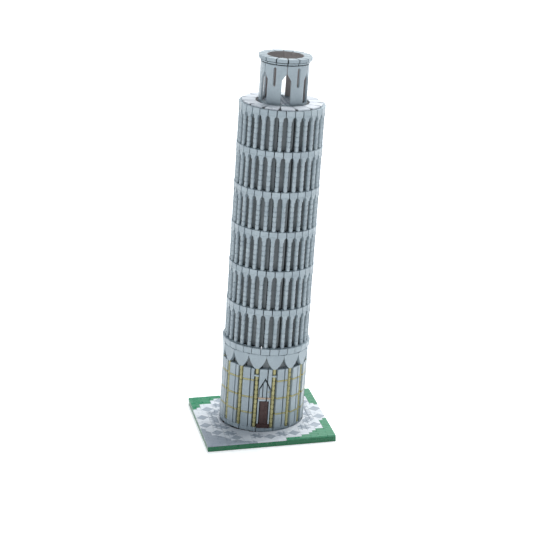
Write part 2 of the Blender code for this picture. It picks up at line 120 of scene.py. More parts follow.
def mouldedPlastic(name, look):
    # Moulded brick plastic: every brick's tone and a slow cloudiness move the colour between two near
    # shades, handling leaves faint smears in the gloss, and the skin has a shallow orange peel
    finish = Finish(name, {"Metallic": 0.0, "IOR": 1.50})
    tone = finish.node("ShaderNodeAttribute", {"attribute_name": "tone"}, output=2)
    cloud = finish.spread(finish.noise(look["cloudScale"], 4.0), 0.3, 0.7)
    speck = finish.spread(finish.noise(look["speckScale"], 5.0, 0.65), 0.42, 0.66)
    shade = finish.mixed(look["light"], look["deep"], tone * look["toneShare"] + cloud * look["cloudShare"])
    finish.feed(finish.shader.inputs["Base Color"],
                finish.mixed(shade, look["speck"], speck * look["speckShare"]))
    smear = finish.spread(finish.noise(look["cloudScale"] * 2.3, 3.0), 0.35, 0.75)
    finish.feed(finish.shader.inputs["Roughness"], smear * look["smear"] + tone * 0.05 + look["roughness"])
    peel = finish.noise(900.0, 2.0) * 0.6 + finish.noise(260.0, 2.0) * 0.4
    bump = finish.node("ShaderNodeBump", None, {"Strength": look["peel"], "Distance": 0.0004, "Height": peel})
    finish.feed(finish.shader.inputs["Normal"], bump)
    return finish


# What every plastic shares, then each plastic's three shades and what differs
commonLook = {"toneShare": 0.6, "cloudShare": 0.4, "speckShare": 0.3, "cloudScale": 34.0, "speckScale": 240.0,
              "roughness": 0.26, "smear": 0.14, "peel": 0.1}
plastics = {
    # white is darkened and blued towards white bricks' tone in shade: painted shade on every white brick
    "white": {"light": srgb(180, 193, 198), "deep": srgb(157, 171, 178), "speck": srgb(132, 146, 154),
              "toneShare": 0.55, "cloudShare": 0.45, "speckShare": 0.22},
    # litTileWhite is the same white plastic made brighter for tiles that face up into the light: painted
    # light
    "litTileWhite": {"light": srgb(226, 230, 234), "deep": srgb(206, 212, 218), "speck": srgb(184, 191, 198),
                  "speckShare": 0.15},
    # shadedInsideWhite is a warm grey for the white insides of the belfry and its crown: painted shade
    "shadedInsideWhite": {"light": srgb(184, 176, 173), "deep": srgb(164, 156, 153), "speck": srgb(134, 127, 125),
                 "toneShare": 0.5, "cloudShare": 0.5, "roughness": 0.4},
    "paleGrey": {"light": srgb(164, 174, 184), "deep": srgb(150, 160, 171), "speck": srgb(128, 138, 148),
                 "toneShare": 0.5, "cloudShare": 0.3, "speckShare": 0.25, "roughness": 0.24},
    "darkGrey": {"light": srgb(126, 133, 135), "deep": srgb(106, 113, 116), "speck": srgb(82, 88, 92),
                 "speckShare": 0.35, "cloudScale": 30.0, "speckScale": 200.0, "roughness": 0.36,
                 "peel": 0.12},
    # shadow is near-black: painted shade for parts that sit in recesses, gaps and behind slits
    "shadow": {"light": srgb(30, 33, 36), "deep": srgb(20, 22, 25), "speck": srgb(12, 13, 15),
               "speckShare": 0.4, "cloudScale": 30.0, "speckScale": 200.0, "roughness": 0.5,
               "smear": 0.1},
    "tan": {"light": srgb(199, 194, 140), "deep": srgb(170, 164, 110), "speck": srgb(140, 132, 84),
            "cloudScale": 40.0, "speckScale": 260.0, "roughness": 0.28},
    "rose": {"light": srgb(205, 180, 158), "deep": srgb(184, 158, 128), "speck": srgb(160, 130, 104),
             "toneShare": 0.5, "cloudShare": 0.5, "cloudScale": 60.0, "speckScale": 260.0,
             "roughness": 0.28},
    # litGreenTile is the plate's green made lighter for tile tops that catch the light and sheen: painted
    # light
    "litGreenTile": {"light": srgb(64, 142, 106), "deep": srgb(28, 126, 82), "speck": srgb(16, 104, 66),
                  "toneShare": 0.4, "cloudShare": 0.3, "speckShare": 0.15, "cloudScale": 26.0,
                  "speckScale": 220.0, "roughness": 0.22, "smear": 0.16, "peel": 0.12},
    # green is the plate's dark green made darker still for its sides, which sit in shade: partly painted
    # shade
    "green": {"light": srgb(0, 108, 66), "deep": srgb(0, 96, 58), "speck": srgb(0, 84, 50),
              "toneShare": 0.35, "cloudShare": 0.25, "speckShare": 0.12, "cloudScale": 26.0,
              "speckScale": 220.0, "roughness": 0.22, "smear": 0.16, "peel": 0.12},
    "brown": {"light": srgb(72, 36, 30), "deep": srgb(56, 25, 21), "speck": srgb(38, 21, 19),
              "toneShare": 0.5, "cloudShare": 0.5, "speckShare": 0.5, "cloudScale": 90.0,
              "speckScale": 420.0, "roughness": 0.3, "smear": 0.16, "peel": 0.14},
}
finishes = {name: mouldedPlastic(name + "Plastic", commonLook | look) for name, look in plastics.items()}
print("finishes ready:", ", ".join(finishes))


# The tower's own axes, from the frame
liftJoint = next(joint for joint in frame["joints"] if joint["name"] == "belfry_lift")
towerUp = Vector(liftJoint["axis"]).normalized()
towerTurn = np.array(Vector((0, 0, 1)).rotation_difference(towerUp).to_matrix())
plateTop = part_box("base_mosaic")[1].z

# Heights along the leaning axis from the tower's foot, and the turns of the brick courses
tower = {"latticeTurn": -5.9, "bays": 15, "arches": 30, "galleries": 6, "plinthTop": 0.008,
         "wallTop": 40 * plate, "bandFoot": 49 * plate, "corniceTop": 53 * plate,
         "galleryHeight": 8 * brick, "belfryTurn": -5.5, "slitTurn": 3.0}
deckHeight = tower["corniceTop"] + tower["galleries"] * tower["galleryHeight"]
footMiddle = sum(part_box("deck_disc"), Vector()) / 2 - towerUp * (deckHeight - plate / 2)
bayTurns = tower["latticeTurn"] + 360 / tower["bays"] * np.arange(tower["bays"])
archTurns = tower["latticeTurn"] + 360 / tower["arches"] * (np.arange(tower["arches"]) + 0.5)
slitTurns = bayTurns + tower["slitTurn"]


def leaning(points):
    # Tower coordinates to the frame's: the upright axis turned onto the leaning one, then moved to its foot
    return points @ towerTurn.T + np.array(footMiddle)


def onWall(local, turns, distance, rise=0.0, keystone=True):
    # Wall coordinates (along, inwards, up) to every turn round the axis; a keystone's sides run to the axis
    along, inwards, up = np.moveaxis(np.asarray(local, float), -1, 0)
    if keystone:
        along = along * (distance - inwards) / distance
    angle = np.radians(np.atleast_1d(turns))[:, None]
    reach = distance - inwards
    across = along * np.cos(angle) + reach * np.sin(angle)
    away = along * np.sin(angle) - reach * np.cos(angle)
    return leaning(np.stack([across, away, up + rise + np.zeros_like(across)], -1))


# Brick shapes
def blockTables():
    # The 6 sides, 12 edge strips and 8 corner triangles of a block whose 8 corners are each three points,
    # every face turned outwards by its own normal
    signs = np.array([[x, y, z] for x in (-1, 1) for y in (-1, 1) for z in (-1, 1)])
    pulls = np.where(np.eye(3, dtype=bool), 1.0, 0.8)
    spots = (signs[:, None] * pulls).reshape(-1, 3)
    sides, strips = [], []
    for axis in range(3):
        other = [(axis + 1) % 3, (axis + 2) % 3]
        for way in (-1, 1):
            ring = [(-1, -1), (1, -1), (1, 1), (-1, 1)]
            sides.append([find(signs, {axis: way, other[0]: a, other[1]: b}) * 3 + axis for a, b in ring])
            for way2 in (-1, 1):
                foot, head = (3 * find(signs, {axis: way, other[0]: way2, other[1]: end}) for end in (-1, 1))
                strips.append([foot + axis, head + axis, head + other[0], foot + other[0]])
    corners = [[3 * number, 3 * number + 1, 3 * number + 2] for number in range(8)]
    return [facingOut(spots, np.array(table)) for table in (sides + strips, corners)]


def find(signs, wanted):
    # Number of the corner that has the wanted sign on each named axis
    return next(number for number, corner in enumerate(signs)
                if all(corner[axis] == sign for axis, sign in wanted.items()))


def facingOut(spots, table):
    # On a convex block a face points outwards when its normal has the side of its own middle
    first, second, last = spots[table[:, 0]], spots[table[:, 1]], spots[table[:, 2]]
    wrong = np.einsum("ij,ij->i", np.cross(second - first, last - first), spots[table].mean(1)) < 0
    table[wrong] = table[wrong, ::-1]
    return table


blockFaces = blockTables()


def block(low, high, edge=module["edge"]):
    # A brick with chamfered edges: each corner is three points, each kept in by the edge on two axes.
    # low and high are one corner each, or one row for every brick
    low, high = np.atleast_2d(np.asarray(low, float)), np.atleast_2d(np.asarray(high, float))
    signs = np.array([[x, y, z] for x in (0, 1) for y in (0, 1) for z in (0, 1)])
    full = np.where(signs[None], high[:, None], low[:, None])
    inset = full + edge * (1 - 2 * signs)
    keep = np.eye(3, dtype=bool)
    return np.where(keep[None, None], full[:, :, None], inset[:, :, None]).reshape(len(low), 24, 3)


def boxes(rows, edge=module["edge"]):
    # Bricks in wall coordinates from rows of (left, right, front, back, foot, top)
    rows = np.array(rows, float)
    return block(rows[:, [0, 2, 4]], rows[:, [1, 3, 5]], edge)


def halfSide(reach, sides, joint):
    # Half the side of a regular ring of stones: its apothem times the tangent of half a turn, less the joint
    return reach * math.tan(math.pi / sides) - joint


def kept(outline, inset):
    # Every corner of a closed outline, counter-clockwise, moved inwards along its mitre
    ahead = np.roll(outline, -1, 0) - outline
    ahead /= np.linalg.norm(ahead, axis=1)[:, None]
    inAfter = np.stack([-ahead[:, 1], ahead[:, 0]], 1)
    inBefore = np.roll(inAfter, 1, 0)
    mitre = (inBefore + inAfter) / (1 + np.sum(inBefore * inAfter, 1))[:, None]
    return outline + inset * mitre


def slab(outline, thick, soft=0.0003):
    # A flat outline (first, second) carried along a third axis away from the viewer, its front edge cut
    # back by the soft width; level faces close it in front and behind
    outline = np.asarray(outline, float)
    rings = [np.column_stack([kept(outline, inset), np.full(len(outline), depth)])
             for depth, inset in ((0, soft), (soft, 0), (thick, 0))]
    count, corners = len(outline), np.arange(len(outline))
    ends = np.array([corners, corners[::-1] + (len(rings) - 1) * count])
    steps = np.arange(len(rings) - 1)[:, None] * count
    after = np.roll(corners, -1)
    bands = np.stack([steps + corners, steps + corners + count, steps + after + count, steps + after], -1)
    return np.concatenate(rings), [ends, bands.reshape(-1, 4)]


def upright(points):
    # A slab's (first, second, third) as wall coordinates: along, inwards, up
    return points[:, [0, 2, 1]]


def turnedBrick(profile, sides):
    # Rings of corners at each (height, radius) of a profile from foot to top, closed at both ends
    angle = 2 * np.pi * (np.arange(sides) + 0.5) / sides
    height, radius = np.asarray(profile, float).T
    rings = np.stack([radius[:, None] * np.cos(angle), radius[:, None] * np.sin(angle),
                      height[:, None] + 0 * angle], -1)
    corners = np.arange(sides)
    steps = np.arange(len(height) - 1)[:, None] * sides
    after = np.roll(corners, -1)
    bands = np.stack([steps + corners, steps + after, steps + after + sides, steps + corners + sides], -1)
    ends = np.array([corners[::-1], corners + (len(height) - 1) * sides])
    return rings.reshape(-1, 3), [bands.reshape(-1, 4), ends]


def piercedShell(angles, heights, mask, outer, inner):
    # A curved wall on a grid of angle columns and height rows: front and back sheets over the cells that
    # the mask keeps, and a wall wherever a kept cell meets an open one
    rows, columns = mask.shape
    angle = np.radians(angles)[None, :] + 0 * heights
    sheets = [np.stack([reach * np.sin(angle), -reach * np.cos(angle), heights], -1).reshape(-1, 3)
              for reach in (outer, inner)]
    number = np.arange((rows + 1) * (columns + 1)).reshape(rows + 1, columns + 1)
    back = number.size
    quads = np.stack([number[:-1, :-1], number[:-1, 1:], number[1:, 1:], number[1:, :-1]], -1)[mask]
    framed = np.pad(mask, 1)
    walls = [quads, quads[:, ::-1] + back]
    for shift, (a, b) in (((0, 1), (0, 1)), ((1, 2), (1, 2)), ((2, 1), (2, 3)), ((1, 0), (3, 0))):
        beside = framed[shift[0]:shift[0] + rows, shift[1]:shift[1] + columns][mask]
        edge = quads[~beside]
        walls.append(np.stack([edge[:, b], edge[:, a], edge[:, a] + back, edge[:, b] + back], -1))
    faces = np.concatenate(walls)
    used, faces = np.unique(faces, return_inverse=True)
    return np.concatenate(sheets)[used], [faces.reshape(-1, 4)]


class Pile:
    # Bricks gathered into one mesh; each brick has one tone for all of its points
    def __init__(self):
        self.points, self.faces, self.tones, self.count = [], [], [], 0

    def add(self, points, tables, tones=None):
        points = points if points.ndim == 3 else points[None]
        bricks, corners = points.shape[:2]
        starts = self.count + corners * np.arange(bricks)[:, None, None]
        self.faces += [(starts + table).reshape(-1, table.shape[1]) for table in tables]
        self.points.append(points.reshape(-1, 3))
        self.tones.append(np.repeat(dice.random(bricks) if tones is None else tones, corners))
        self.count += bricks * corners
        return self

    def put(self, name, finish, nodes=(), body="root", smooth=None, bevel=None):
        mesh = bpy.data.meshes.new(name)
        faces = [row for rows in self.faces for row in rows.tolist()]
        mesh.from_pydata(np.concatenate(self.points).tolist(), [], faces)
        mesh.attributes.new("tone", "FLOAT", "POINT").data.foreach_set("value", np.concatenate(self.tones))
        mesh.materials.append(finishes[finish].material)
        if smooth:
            mesh.shade_smooth()
            mesh.set_sharp_from_angle(angle=math.radians(smooth))
        piece = bpy.data.objects.new(name, mesh)
        bpy.context.scene.collection.objects.link(piece)
        if bevel:
            rounding = piece.modifiers.new("rounding", "BEVEL")
            rounding.width = bevel
            rounding.segments = 2
            rounding.limit_method = "ANGLE"
            rounding.angle_limit = math.radians(38)
            rounding.harden_normals = True
        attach(piece, body)
        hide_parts(*nodes)
        return piece


def courses(foot, top, height=brick):
    # Joint heights from the top down at the brick's height; the lowest brick takes what is left
    joints = np.append(np.arange(top, foot + height * 0.3, -height), foot)[::-1]
    return joints[:-1], joints[1:]


# Square plate
field = {"studs": 31, "edge": 0.00028, "longest": 4, "lozenge": 1.5, "brickDeep": 2, "cell": 3, "square": 1.2,
         "rosettes": [(0, -13), (6, -12), (12, -7), (14, -2), (14, 3), (12, 8), (8, 12)],
         "squares": [(3, -12), (9, -9), (11, -4), (11, 1), (10, 5)], "pavementReach": 15.7,
         "pavementSide": -2.0, "pavementFront": -5.0}
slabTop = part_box("base_slab")[1].z
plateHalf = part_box("base_slab")[1].x
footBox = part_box("foot_block")
footRadius = max(footBox[1].x - footBox[0].x, footBox[1].y - footBox[0].y) / 2
footPlace = np.array([footMiddle.x, footMiddle.y])
foot = {"face": 0.0794, "apron": 0.0900, "back": 0.0120, "steps": 60, "floor": 0.0036, "raised": 0.0008,
        "plinthFace": 0.0808, "plinthBack": 0.0090}
cellMiddles = (np.arange(field["studs"]) - (field["studs"] - 1) / 2) * stud


def coveredCells(nodeName, spots):
    # True for every spot where a line dropped onto it meets the node
    tree = BVHTree.FromObject(frame["nodes"][nodeName], bpy.context.evaluated_depsgraph_get())
    down = Vector((0, 0, -1))
    return np.array([tree.ray_cast(Vector((x, y, 1.0)), down)[0] is not None for x, y in spots])


def fieldTiles(pile, cells):
    # Runs of square cells along X joined into tiles of at most the longest length, starts staggered by row
    for row in np.unique(cells[:, 1]):
        filled = np.sort(cells[cells[:, 1] == row, 0])
        breaks = np.flatnonzero((np.diff(filled) > 1) | ((filled[1:] + 2 * row) % field["longest"] == 0))
        starts = filled[np.append(0, breaks + 1)]
        ends = filled[np.append(breaks, len(filled) - 1)]
        low = np.stack([(starts - 0.5) * stud, (row - 0.5) * stud + 0 * starts, slabTop + 0 * starts], 1)
        high = np.stack([(ends + 0.5) * stud, (row + 0.5) * stud + 0 * ends, plateTop + 0 * ends], 1)
        gap = np.array([module["joint"], module["joint"], 0])
        pile.add(block(low + gap, high - gap, field["edge"]), blockFaces)
    return pile


def flatTile(outline):
    # A tile on the slab from its outline: softened at the top edge, plumb below it
    points, tables = slab(kept(outline, module["joint"]), plate - 0.0003, field["edge"])
    return points * [1, 1, -1] + [0, 0, plateTop], tables


def cornerTile(cell, corner):
    # Half a square tile, cut on its diagonal: the triangle at corner 0..3, counter-clockwise from the low one
    ring = np.array([(-1, -1), (1, -1), (1, 1), (-1, 1)])
    return flatTile(ring[[(corner - 1) % 4, corner, (corner + 1) % 4]] * stud / 2 + np.array(cell) * stud)


def lozengeTiles(grey, white, centre):
    # A grey lozenge across three cells each way, and the four white triangles that square it off
    reach, middle = field["lozenge"] * stud, np.array(centre) * stud
    points = np.array([(0, -1), (1, 0), (0, 1), (-1, 0)]) * reach + middle
    corners = np.array([(-1, -1), (1, -1), (1, 1), (-1, 1)]) * reach + middle
    grey.add(*flatTile(points))
    for number in range(4):
        white.add(*flatTile(np.array([points[number - 1], corners[number], points[number]])))


def fourfold(places):
    # The places mirrored left to right and front to back, each once
    ways = np.array([(1, 1), (-1, 1), (1, -1), (-1, -1)])
    return np.unique((np.array(places)[:, None] * ways).reshape(-1, 2), axis=0)


def mosaicColour(spots):
    # 0 plain pavement, 1 white field, 2 grey square max(|x|, |y|) < q on every patch; the pavement fills
    # the front left corner beyond its reach from the middle
    square = np.abs(spots[:, None] - fourfold(field["squares"])).max(2).min(1)
    corner = (spots[:, 0] < field["pavementSide"]) & (spots[:, 1] < field["pavementFront"])
    pavement = corner & (np.linalg.norm(spots, axis=1) > field["pavementReach"])
    return np.where(pavement, 0, np.where(square < field["square"], 2, 1))


def makeField():
    # Tiles on every cell of the plate that the tower's foot leaves free, by colour
    grid = np.stack(np.meshgrid(cellMiddles, cellMiddles), -1).reshape(-1, 2)
    cells = np.rint(grid / stud).astype(int)
    owner = {name: coveredCells(name, grid)
             for name in ("corner_back_left", "corner_back_right", "corner_front_right")}
    green = np.any(list(owner.values()), axis=0)
    fieldTiles(Pile(), cells[green]).put("cornerTiles", "litGreenTile", owner)

    corners = np.array([(-1, -1), (1, -1), (1, 1), (-1, 1)]) / 2
    spots = (cells[:, None] + corners[None]) * stud - footPlace
    nearest = np.linalg.norm(spots, axis=2)
    soffit = footMiddle.z - (spots @ np.array(towerUp[:2])) / towerUp.z
    margin = nearest - np.where(soffit > plateTop + foot["raised"], foot["face"], footRadius) - 0.0004
    free = (margin.min(1) > 0) & ~green
    quarter = mosaicColour((cells[:, None] + corners[None] / 2).reshape(-1, 2)).reshape(-1, 4)
    piles = {0: Pile(), 1: Pile(), 2: Pile()}
    taken = np.zeros(len(cells), bool)
    for centre in fourfold(field["rosettes"]):
        inside = np.abs(cells - centre).max(1) <= 1
        if (free & ~taken)[inside].sum() == 9:
            lozengeTiles(piles[2], piles[1], centre)
            taken |= inside
    free &= ~taken
    whole = free & (np.ptp(quarter, axis=1) == 0)
    for colour, pile in piles.items():
        fieldTiles(pile, cells[whole & (quarter[:, 0] == colour)])
    # cells that two colours share, and cells that only half clear the tower's foot, are cut corner to corner
    for cell, tints, reach, filled in zip(cells, quarter, margin, green | taken):
        if filled or (reach.min() > 0 and np.ptp(tints) == 0):
            continue
        first = 0 if tints[0] != tints[2] else 1
        for corner in (first, first + 2):
            ends = reach[[(corner - 1) % 4, corner, (corner + 1) % 4]]
            if ends.min() > 0:
                piles[int(tints[corner])].add(*cornerTile(cell, corner))
    for colour, (name, finish) in {0: ("pavingTiles", "paleGrey"), 1: ("frameTiles", "litTileWhite"),
                                   2: ("diamondTiles", "paleGrey")}.items():
        piles[colour].put(name, finish, ["base_mosaic"])


def makeSlab():
    # Four long bricks round the rim, and square cells inside it that leave the tower's pocket open; the cells
    # are near-black, painted shade in the pocket
    pile = Pile()
    deep = field["brickDeep"] * stud
    for side in range(4):
        end = plateHalf - (deep if side % 2 else 0)
        points = block([-end, -plateHalf, 0], [end, -plateHalf + deep, slabTop])
        turn = np.array(Matrix.Rotation(side * math.pi / 2, 3, "Z"))
        pile.add(points @ turn.T, blockFaces)
    pile.put("plateRim", "green", ["base_slab"])
    pile = Pile()
    half = field["cell"] * stud / 2
    inside = np.arange(-4, 5) * 2 * half
    middle = np.stack(np.meshgrid(inside, inside), -1).reshape(-1, 2)
    reach = np.linalg.norm(np.maximum(np.abs(middle - footPlace) - half, 0), axis=1)
    top = np.where(reach > footRadius, slabTop, plate)
    low = np.column_stack([middle - half, 0 * top])
    high = np.column_stack([middle + half, top])
    pile.add(block(low, high), blockFaces)
    pile.put("plateCells", "shadow", ["base_slab"])


def aroundFoot(local, turn, distance):
    # Plumb wall coordinates to a turn, in radians, round the tower's foot, tapered like a keystone
    along, inwards, up = np.moveaxis(local, -1, 0)
    reach = distance - inwards
    along = along * reach / distance
    return np.stack([along * np.cos(turn) + reach * np.sin(turn) + footPlace[0],
                     along * np.sin(turn) - reach * np.cos(turn) + footPlace[1], up], -1)


def makeApron():
    # A ring of narrow plates just below the tiles' broken edge, up to the tower's foot: close in where
    # the foot is raised over the plate, clear of it where the foot is sunk
    turns = 2 * np.pi * np.arange(foot["steps"]) / foot["steps"]
    heading = np.stack([np.sin(turns), -np.cos(turns)], 1)
    soffit = footMiddle.z - foot["face"] * (heading @ np.array(towerUp[:2])) / towerUp.z
    inner = np.where(soffit > plateTop + foot["raised"], foot["face"], footRadius) + 0.0007
    outer, half = foot["apron"], foot["apron"] * math.tan(math.pi / foot["steps"])
    low = np.column_stack([0 * inner - half, 0 * inner, 0 * inner + slabTop])
    high = np.column_stack([0 * inner + half, outer - inner, 0 * inner + plateTop - 0.0003])
    placed = aroundFoot(block(low, high, 0.0001), turns[:, None], outer)
    Pile().add(placed, blockFaces).put("footApron", "litTileWhite", ["base_mosaic"])


makeField()
makeApron()
makeSlab()
print("plate laid")


# Foot and plinth
def makeFoot():
    # Stacked plates under the leaning plinth: at every turn an upright stack, whole plates high, that ends
    # below the tilted plane; the packers above it follow the plinth
    turns = 360 / foot["steps"] * np.arange(foot["steps"])
    angle = np.radians(turns)
    rim = np.stack([foot["face"] * np.sin(angle), -foot["face"] * np.cos(angle), 0 * angle], -1)
    planeHeight = leaning(rim)[:, 2] - 0.0026
    high = foot["floor"] + np.floor((planeHeight - foot["floor"]) / plate) * plate
    half = halfSide(foot["face"], foot["steps"], module["joint"])
    pale, dark = Pile(), Pile()
    for turn, top, number in zip(angle, high, range(foot["steps"])):
        if top - foot["floor"] < plate / 2:
            continue
        low = np.array([-half, 0, foot["floor"]])
        placed = aroundFoot(block(low, [half, foot["back"], top])[0], turn, foot["face"])
        (dark if number % 5 == 2 else pale).add(placed, blockFaces)
    pale.put("footStack", "white", ["foot_block"])
    packers = onWall(block([-half, 0.0006, -0.0028], [half, foot["back"], -0.0002]), turns[::2], foot["face"])
    dark.add(packers, blockFaces).put("footPackers", "brown", ["foot_block"])
    width = 2 * stud
    plinth = Pile()
    for start in (-width, 0.0):
        low = [start + module["joint"], 0, 0.0]
        stone = block(low, [start + width - module["joint"], foot["plinthBack"], tower["plinthTop"]])
        plinth.add(onWall(stone, bayTurns, foot["plinthFace"], keystone=False), blockFaces)
    plinth.put("plinthCourse", "white", ["foot_block"])


makeFoot()


# Ground storey
wall = {"face": 0.0808, "depth": 0.0078, "groove": 0.0010, "bandFeet": (11 * plate, 21 * plate, 32 * plate),
        "columnPlace": 1.5 * stud, "columnRadius": 0.0031, "columnNeck": 0.0021, "neckHeight": 0.0018,
        "flank": 0.0010, "columnSides": 14, "coreFace": 0.0716, "coreDepth": 0.0038, "capHalf": 0.0046,
        "capProud": 0.0010, "capFoot": 35.25 * plate, "capTop": 36.25 * plate}


def roundBrick(height, radius, neck, neckHeight, sides):
    # A one-stud round brick: a narrow foot ring, a shoulder, the body and a softened top edge
    soft = module["edge"]
    profile = [(0.00004, neck), (neckHeight, neck), (neckHeight + soft, radius), (height - soft, radius),
               (height - 0.00004, radius - soft)]
    return turnedBrick(profile, sides)


def makeWallBay(number):
    # A two-stud panel and a one-stud strip, each broken by the three thin bands
    feet = np.array([tower["plinthTop"]] + [foot + plate for foot in wall["bandFeet"]])
    tops = np.array([*wall["bandFeet"], tower["wallTop"]])
    columns = np.array([(wall["flank"] - 2 * stud, -wall["groove"]), (wall["groove"], stud - wall["flank"])])
    turn = bayTurns[number]
    for name, finish, lows, highs, back in (("wallPanels", "white", feet, tops, 0.0),
                                            ("wallBands", "tan", np.array(wall["bandFeet"]),
                                             np.array(wall["bandFeet"]) + plate, 0.00015)):
        spans = [(left, right, back, wall["depth"], low + module["joint"], high - module["joint"])
                 for left, right in columns for low, high in zip(lows, highs)]
        pile = Pile().add(onWall(boxes(spans), turn, wall["face"], keystone=False), blockFaces)
        pile.put(f"{name}_{number:02d}", finish, [f"wall_bay_{number:02d}"])


def makeColumn(number):
    # Tan round bricks from the plinth to the arcade; beside the door a white cap plate interrupts them
    stretches = [(tower["plinthTop"], tower["wallTop"])]
    if number in (0, tower["bays"] - 1):
        stretches = [(tower["plinthTop"], wall["capFoot"]), (wall["capTop"], tower["wallTop"])]
        middle = wall["columnPlace"]
        cap = block([middle - wall["capHalf"], -wall["capProud"], wall["capFoot"]],
                    [middle + wall["capHalf"], wall["depth"], wall["capTop"]])
        pile = Pile().add(onWall(cap, bayTurns[number], wall["face"], keystone=False), blockFaces)
        pile.put(f"columnCap_{number:02d}", "white", [f"tan_column_{number:02d}"])
    pile = Pile()
    for low, high in stretches:
        for bottom, top in zip(*courses(low, high)):
            points, tables = roundBrick(top - bottom, wall["columnRadius"], wall["columnNeck"],
                                        wall["neckHeight"], wall["columnSides"])
            points = points + [wall["columnPlace"], stud / 2, bottom]
            pile.add(onWall(points, bayTurns[number], wall["face"], keystone=False), tables)
    pile.put(f"columnBricks_{number:02d}", "tan", [f"tan_column_{number:02d}"], smooth=42)


def makeCore():
    # The wall behind the bays, five bricks to a course: its dark grey darkened to near-black, painted shade
    # in the grooves
    half = halfSide(wall["coreFace"], tower["bays"], 0.0007)
    spans = boxes([(-half, half, 0, wall["coreDepth"], low + 0.0001, high - 0.0003)
                   for low, high in zip(*courses(tower["plinthTop"], tower["bandFoot"], 5 * brick))])
    pile = Pile()
    for turn in bayTurns:
        pile.add(onWall(spans, turn, wall["coreFace"]), blockFaces)
    pile.put("coreWall", "shadow", ["ground_core"])


for number in range(1, tower["bays"]):
    makeWallBay(number)
for number in range(tower["bays"]):
    makeColumn(number)
makeCore()
print("ground storey built")


# Door bay
door = {"middle": -0.5 * stud, "half": stud, "foot": 0.0163, "top": 0.0627, "recess": 0.0048,
        "sillTop": 0.0160, "sillProud": 0.0010, "lintelFoot": 0.0631, "bandFoot": 21 * plate,
        "overRecess": 0.0052, "leafThick": 0.0032, "gap": 0.0003,
        "pin": 0.0012, "pinLong": 0.0022, "gableHalf": 0.0112, "gableShoulder": 0.0890, "gableApex": 0.1105,
        "gableGap": 0.0030, "gableDepth": 0.0034, "gableSink": 0.0005, "courses": 5,
        "joint": 0.0010, "jambGap": 0.0013, "stripGap": 0.0008}
doorHinge = next(joint for joint in frame["joints"] if joint["name"] == "door_hinge")


def slope(along):
    # Underside of the wall above the gable: the apex less the slope times the distance from the door's middle
    fall = (door["gableApex"] - door["gableShoulder"]) / door["gableHalf"]
    return door["gableApex"] - fall * abs(along - door["middle"])


def makeDoorWall():
    # The door bay: jambs, lintel, the wall cut to the gable's slopes, its band, its backing and the sill
    left, right, joint = -2 * stud, stud - 0.00015, module["joint"]
    doorLeft, doorRight = door["middle"] - door["half"], door["middle"] + door["half"]
    face, turn, depth = wall["face"], bayTurns[0], wall["depth"]

    def placed(rows):
        return onWall(boxes(rows, 0.0003), turn, face, keystone=False), blockFaces

    sillTop, lintel, band = door["sillTop"] + door["gap"], door["lintelFoot"], door["bandFoot"]
    white = Pile().add(*placed([
        (left, doorLeft - door["jambGap"], 0.0006, depth, sillTop, lintel - joint),
        (doorRight + door["jambGap"], right, 0.0006, depth, sillTop, lintel - joint),
        (left, -door["joint"], 0, depth, lintel, band - joint),
        (door["joint"], right, 0, depth, lintel, band - joint)]))
    foot = band + plate + joint
    overLeft = [(left, foot), (left + 0.0006, foot), (left + 0.0008, slope(left + 0.0008)),
                (door["middle"], door["gableApex"]), (-door["joint"], slope(-door["joint"])),
                (-door["joint"], tower["wallTop"]), (left, tower["wallTop"])]
    overRight = [(door["joint"], slope(door["joint"])), (right - 0.0008, slope(right - 0.0008)),
                 (right - 0.0006, foot), (right, foot), (right, tower["wallTop"]),
                 (door["joint"], tower["wallTop"])]
    for outline in (overLeft, overRight):
        points, tables = slab(outline, depth, 0.00025)
        white.add(onWall(upright(points), turn, face, keystone=False), tables)
    white.put("doorWall", "white", ["door_surround"])

    Pile().add(*placed([(left, -door["joint"], 0.0001, depth, band, band + plate - joint),
                        (door["joint"], right, 0.0001, depth, band, band + plate - joint)])
               ).put("doorBand", "rose", ["door_surround"])
    # the backing in the recess and over the gable is near-black: painted shade behind the door and the strips
    Pile().add(*placed([(left + 0.001, right - 0.001, door["recess"], depth, sillTop, lintel - joint),
                        (left + 0.001, right - 0.001, door["overRecess"], depth, foot, door["gableApex"])])
               ).put("doorBacking", "shadow", ["door_surround"])
    proud, low = -door["sillProud"], tower["plinthTop"] + joint
    Pile().add(*placed([(left, -stud - 0.0001, proud, depth, low, door["sillTop"]),
                        (0.0001 - stud, right, proud, depth, low, door["sillTop"])])
               ).put("doorSill", "brown", ["door_sill"])


def makeGable():
    # Three one-stud strips under the two slopes, cut parallel to them, with open joints between
    half = door["gableHalf"] - 0.0014
    foot = door["bandFoot"] + plate + 0.0002
    drop = door["gableGap"] * 1.9
    pile = Pile()
    gap = door["stripGap"]
    strips = ((door["middle"] - half, -stud - gap), (gap - stud, -gap), (gap, door["middle"] + half))
    for left, right in strips:
        tops = [(right, slope(right) - drop), (left, slope(left) - drop)]
        if left < door["middle"] < right:
            tops.insert(1, (door["middle"], door["gableApex"] - drop))
        outline = [(left, foot), (right, foot)] + tops
        points, tables = slab(outline, door["gableDepth"])
        points = upright(points) + [0, door["gableSink"], 0]
        pile.add(onWall(points, bayTurns[0], wall["face"], keystone=False), tables)
    pile.put("gableStrips", "white", ["door_gable"])
    # a thin bow across the right-hand strip: an arc of a ring, thin in the middle of its own sag
    share = np.linspace(0, 1, 9)
    along = 0.0006 + 0.0050 * share
    sag = 0.0830 - 0.0042 * share * (1 - share)
    outline = np.concatenate([np.stack([along, sag - 0.0005], 1), np.stack([along, sag + 0.0005], 1)[::-1]])
    points, tables = slab(outline, 0.0008, 0.0002)
    points = upright(points) + [0, -0.0001, 0]
    Pile().add(onWall(points, bayTurns[0], wall["face"], keystone=False), tables
               ).put("gableBow", "tan", ["door_gable"])


